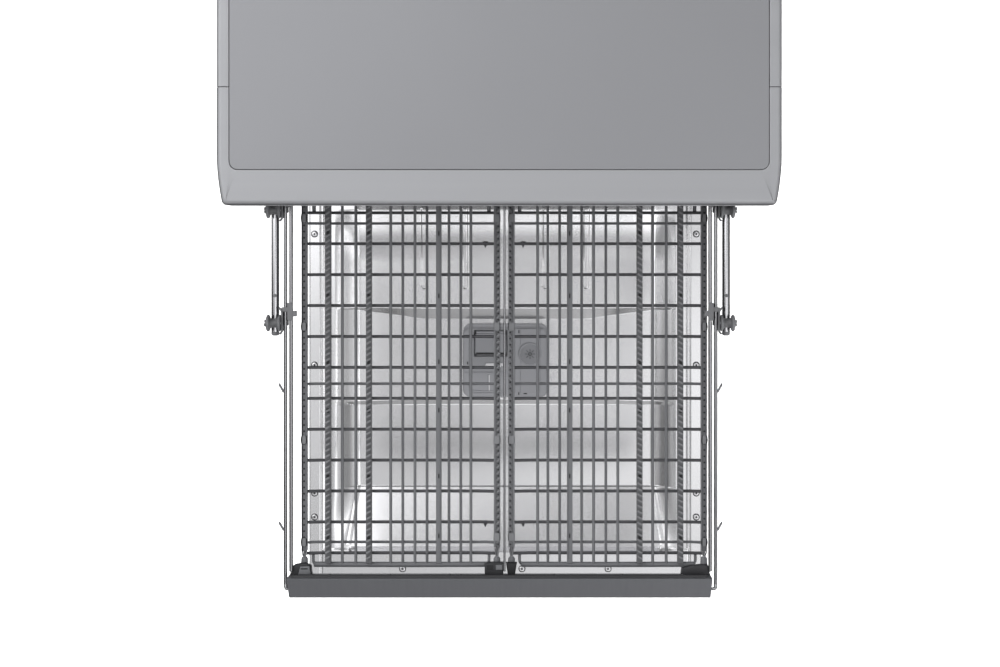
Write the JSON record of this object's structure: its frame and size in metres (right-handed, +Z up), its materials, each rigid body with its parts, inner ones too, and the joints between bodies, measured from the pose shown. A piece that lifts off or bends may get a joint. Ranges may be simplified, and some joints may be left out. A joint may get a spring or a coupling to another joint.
{
  "type": "freestanding dishwasher",
  "caption": "Freestanding dishwasher with a fold-down door, pull-out cutlery rack on telescopic rails, two wire baskets and spray arms.",
  "frame": {"origin": "on the floor, under the middle of the machine with its door folded down", "axes": "+Z up, +Y towards the back of the cabinet, +X to the right seen from the front"},
  "size_m": [0.598, 1.166, 0.85],
  "materials": {
    "worktop_board": "satin steel-grey laminate on a chipboard core",
    "worktop_edge": "satin steel-grey moulding",
    "cabinet_paint": "satin silver-grey paint",
    "galvanised": "dull galvanised sheet",
    "base_black": "moulded",
    "kick_grey": "satin",
    "fascia_grey": "gloss",
    "tub_steel": "bright pressed stainless",
    "liner_steel": "bright pressed stainless",
    "gasket_rubber": "matte",
    "bracket_steel": "zinc",
    "spring_steel": "oiled",
    "duct_plastic": "moulded",
    "arm_steel": "satin",
    "motor_grey": "moulded",
    "pump_white": "moulded",
    "valve_white": "moulded",
    "filter_steel": "fine mesh",
    "filter_plastic": "moulded",
    "button_silver": "metallic",
    "dispenser_grey": "moulded",
    "lid_grey": "moulded",
    "screw_steel": "polished",
    "rail_chrome": "polished",
    "wire_grey": "nylon-coated wire",
    "tray_plastic": "moulded",
    "rod_steel": "bright wire",
    "bar_grey": "satin grey metallic",
    "socket_black": "moulded",
    "roller_plastic": "moulded",
    "basket_wire": "nylon-coated wire",
    "wheel_plastic": "moulded"
  },
  "bodies": {
    "cabinet": {"worktop_panel": "worktop_board", "worktop_front_trim": "worktop_edge", "worktop_side_trims": "worktop_edge", "side_panel_left": "cabinet_paint", "side_panel_right": "cabinet_paint", "back_panel": "galvanised", "base_tray": "base_black", "kick_plate": "kick_grey", "levelling_feet": "base_black", "control_fascia": "fascia_grey", "tub_wrap": "tub_steel", "tub_back": "tub_steel", "tub_floor": "tub_steel", "tub_gasket": "gasket_rubber", "hinge_brackets": "bracket_steel", "door_springs": "spring_steel", "rail_guides": "bracket_steel", "feed_pipe": "duct_plastic", "sump": "duct_plastic", "circulation_pump": "motor_grey", "drain_pump": "pump_white", "flow_heater": "motor_grey", "inlet_valve": "valve_white", "drain_outlet": "duct_plastic", "filter_plate": "filter_steel", "upper_rails": "bracket_steel"},
    "power_button": {"power_button": "button_silver"},
    "start_button": {"start_button": "button_silver"},
    "filter_cup": {"filter_cup": "filter_plastic"},
    "lower_spray_arm": {"lower_spray_arm": "arm_steel"},
    "top_spray_arm": {"top_spray_arm": "arm_steel"},
    "guide_rollers_front": {"guide_rollers_front": "roller_plastic"},
    "guide_rollers_rear": {"guide_rollers_rear": "roller_plastic"},
    "door": {"door_outer_panel": "cabinet_paint", "door_liner": "liner_steel", "door_handle": "bar_grey", "hinge_arms": "bracket_steel", "dispenser_housing": "dispenser_grey", "liner_screws": "screw_steel"},
    "detergent_lid": {"detergent_lid": "lid_grey"},
    "rinse_cap": {"rinse_cap": "lid_grey"},
    "rack_rails": {"rail_left": "rail_chrome", "rail_right": "rail_chrome"},
    "cutlery_rack": {"tray_left": "wire_grey", "tray_right": "wire_grey", "tray_combs": "tray_plastic", "side_strips": "tray_plastic", "rack_rods": "rod_steel", "rack_handle": "bar_grey", "handle_sockets": "socket_black", "carriages": "tray_plastic"},
    "rack_rollers_front": {"rack_rollers_front": "roller_plastic"},
    "rack_rollers_rear": {"rack_rollers_rear": "roller_plastic"},
    "upper_basket": {"upper_basket": "basket_wire", "upper_runners": "bracket_steel"},
    "upper_spray_arm": {"upper_spray_arm": "arm_steel"},
    "lower_basket": {"lower_basket": "basket_wire"},
    "folding_tines": {"folding_tines": "basket_wire"},
    "lower_wheels_front": {"lower_wheels_front": "wheel_plastic"},
    "lower_wheels_rear": {"lower_wheels_rear": "wheel_plastic"}
  },
  "joints": [
    {"name": "door_hinge", "type": "hinge", "parent": "cabinet", "child": "door", "pos_m": [0, 0.031, 0.15], "axis": [1, 0, 0], "range_deg": [-90, 0]},
    {"name": "rail_slide", "type": "slide", "parent": "cabinet", "child": "rack_rails", "axis": [0, 1, 0], "range_m": [0, 0.262]},
    {"name": "cutlery_rack_slide", "type": "slide", "parent": "rack_rails", "child": "cutlery_rack", "axis": [0, 1, 0], "range_m": [0, 0.262]},
    {"name": "upper_basket_slide", "type": "slide", "parent": "cabinet", "child": "upper_basket", "axis": [0, -1, 0], "range_m": [0, 0.4]},
    {"name": "lower_basket_slide", "type": "slide", "parent": "cabinet", "child": "lower_basket", "axis": [0, -1, 0], "range_m": [0, 0.44]},
    {"name": "tines_fold", "type": "hinge", "parent": "lower_basket", "child": "folding_tines", "pos_m": [0, 0.188, 0.232], "axis": [-1, 0, 0], "range_deg": [0, 88]},
    {"name": "lower_wheels_front_spin", "type": "hinge", "parent": "lower_basket", "child": "lower_wheels_front", "pos_m": [0, 0.108, 0.1853], "axis": [1, 0, 0], "continuous": true},
    {"name": "lower_wheels_rear_spin", "type": "hinge", "parent": "lower_basket", "child": "lower_wheels_rear", "pos_m": [0, 0.493, 0.1853], "axis": [1, 0, 0], "continuous": true},
    {"name": "lower_arm_spin", "type": "hinge", "parent": "cabinet", "child": "lower_spray_arm", "pos_m": [0, 0.318, 0.19], "axis": [0, 0, 1], "continuous": true},
    {"name": "upper_arm_spin", "type": "hinge", "parent": "upper_basket", "child": "upper_spray_arm", "pos_m": [0, 0.303, 0.48], "axis": [0, 0, 1], "continuous": true},
    {"name": "top_arm_spin", "type": "hinge", "parent": "cabinet", "child": "top_spray_arm", "pos_m": [0, 0.303, 0.757], "axis": [0, 0, 1], "continuous": true},
    {"name": "guide_rollers_front_spin", "type": "hinge", "parent": "cabinet", "child": "guide_rollers_front", "pos_m": [0, 0.108, 0.7184], "axis": [1, 0, 0], "continuous": true},
    {"name": "guide_rollers_rear_spin", "type": "hinge", "parent": "cabinet", "child": "guide_rollers_rear", "pos_m": [0, 0.238, 0.7184], "axis": [1, 0, 0], "continuous": true},
    {"name": "rack_rollers_front_spin", "type": "hinge", "parent": "cutlery_rack", "child": "rack_rollers_front", "pos_m": [0, -0.1473, 0.7376], "axis": [1, 0, 0], "continuous": true},
    {"name": "rack_rollers_rear_spin", "type": "hinge", "parent": "cutlery_rack", "child": "rack_rollers_rear", "pos_m": [0, -0.0197, 0.7376], "axis": [1, 0, 0], "continuous": true},
    {"name": "detergent_lid_hinge", "type": "hinge", "parent": "door", "child": "detergent_lid", "pos_m": [-0.022, -0.19, 0.16175], "axis": [-1, 0, 0], "range_deg": [0, 100]},
    {"name": "rinse_cap_twist", "type": "hinge", "parent": "door", "child": "rinse_cap", "pos_m": [0.037, -0.223, 0.162], "axis": [0, 0, 1], "range_deg": [0, 90]},
    {"name": "filter_cup_twist", "type": "hinge", "parent": "cabinet", "child": "filter_cup", "pos_m": [0, 0.238, 0.15], "axis": [0, 0, 1], "range_deg": [0, 90]},
    {"name": "power_button_press", "type": "slide", "parent": "cabinet", "child": "power_button", "axis": [0, 1, 0], "range_m": [0, 0.002], "stiffness_N_per_m": 400},
    {"name": "start_button_press", "type": "slide", "parent": "cabinet", "child": "start_button", "axis": [0, 1, 0], "range_m": [0, 0.002], "stiffness_N_per_m": 400}
  ],
  "couplings": [
    {"joint": "rail_slide", "follows": "door_hinge", "m_per_rad": -0.16679},
    {"joint": "cutlery_rack_slide", "follows": "door_hinge", "m_per_rad": -0.16679}
  ]
}
